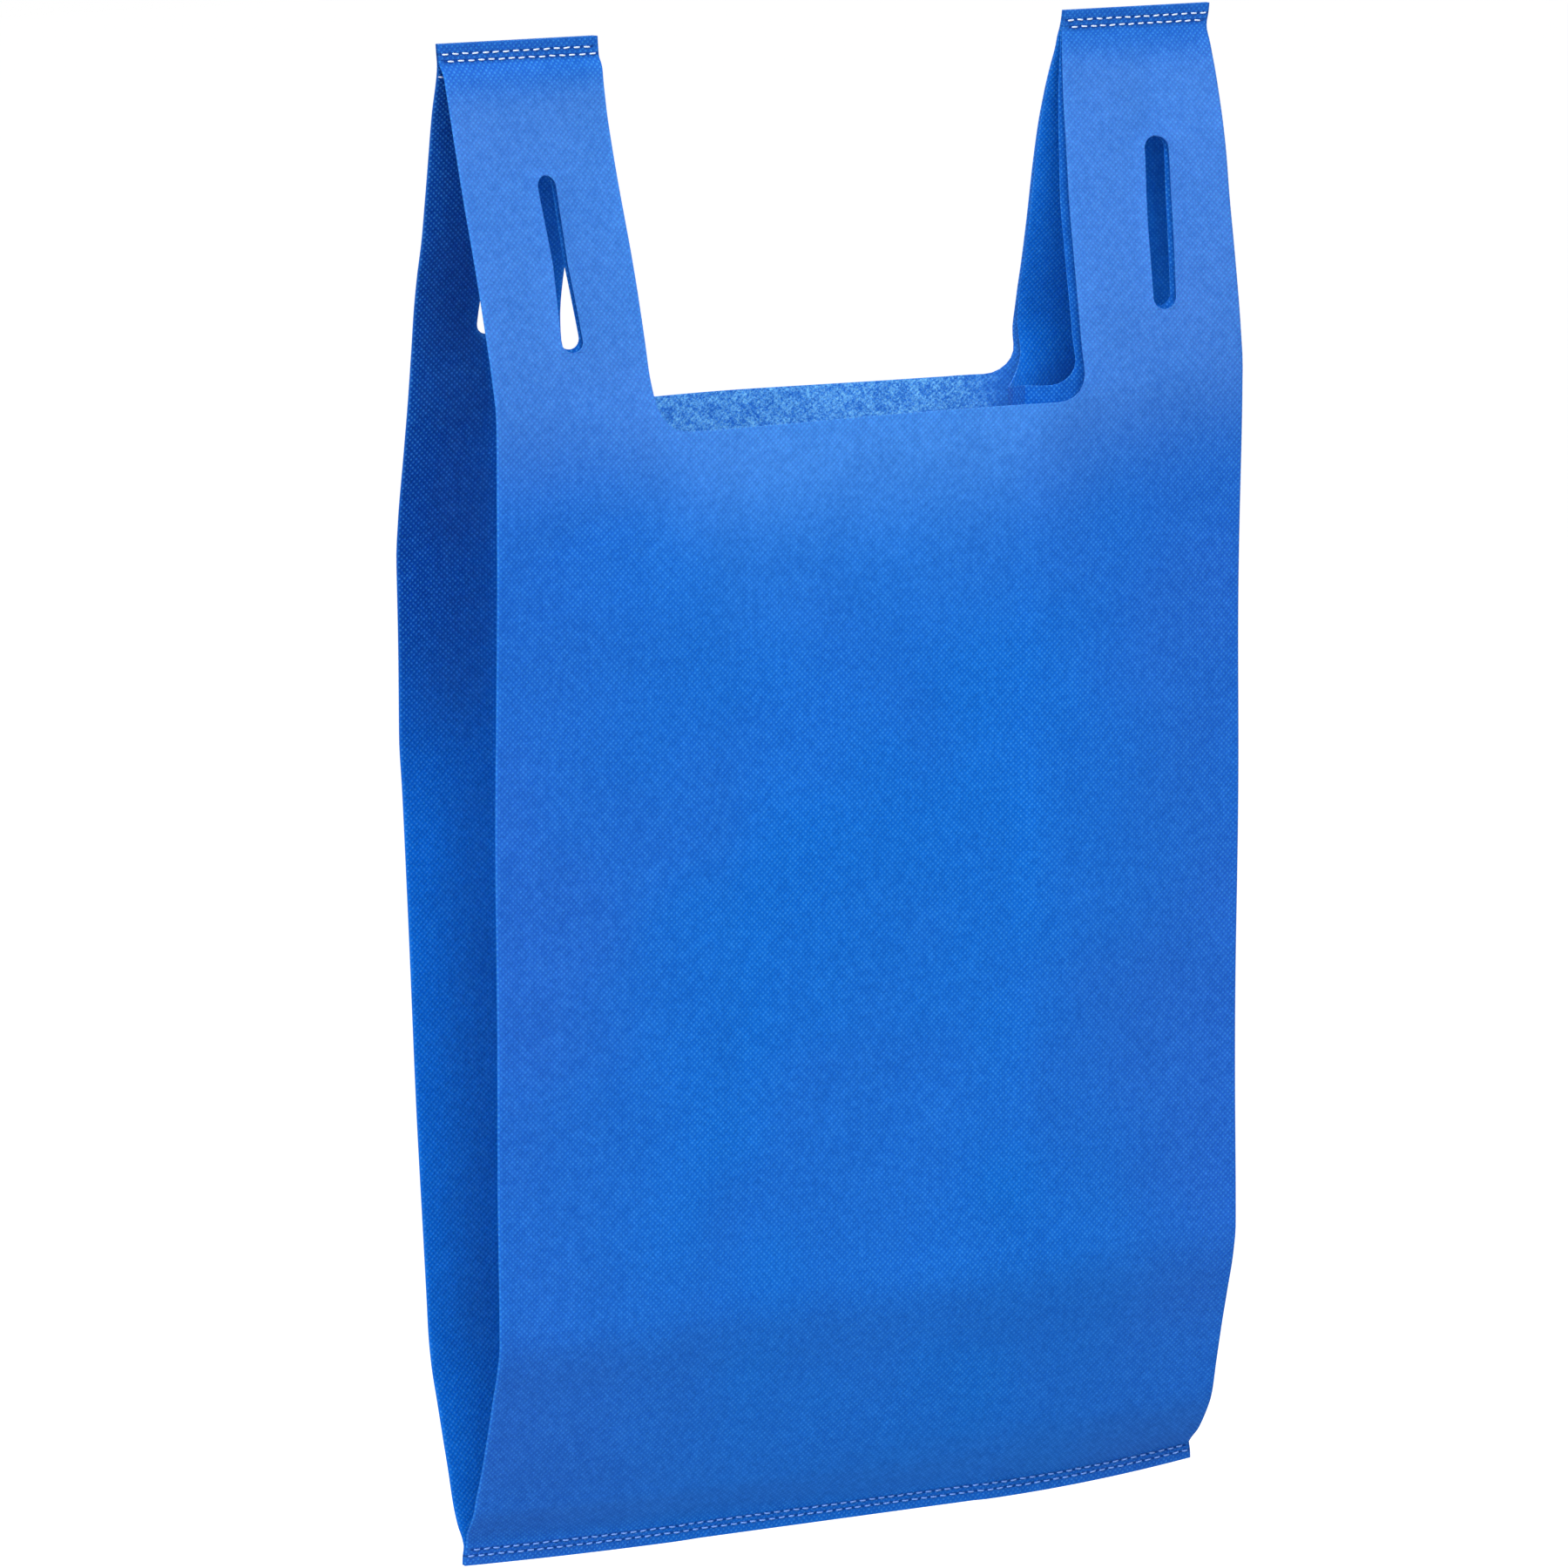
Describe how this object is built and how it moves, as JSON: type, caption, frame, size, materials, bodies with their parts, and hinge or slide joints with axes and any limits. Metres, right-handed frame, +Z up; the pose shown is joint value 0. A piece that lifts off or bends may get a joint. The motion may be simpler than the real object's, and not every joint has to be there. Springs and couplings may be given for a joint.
{
  "type": "non-woven t-shirt bag",
  "caption": "Reusable carrier bag of spunbonded fabric, opened: gusseted body sewn flat across the bottom, rounded neck between wide loop handles, each with a long hanging slot.",
  "frame": {"origin": "middle of the bottom seam's lower edge, at the centre of the part's box", "axes": "+X along the front panel's width, -Y out of the front panel, +Z up the bag towards its handles; the seams lie in the plane Y = 0"},
  "size_m": [0.3152, 0.0796, 0.555],
  "materials": {
    "fabric": "matt, embossed with a fine diamond of bonding points"
  },
  "bodies": {
    "root": {"bag": "fabric"}
  },
  "joints": []
}
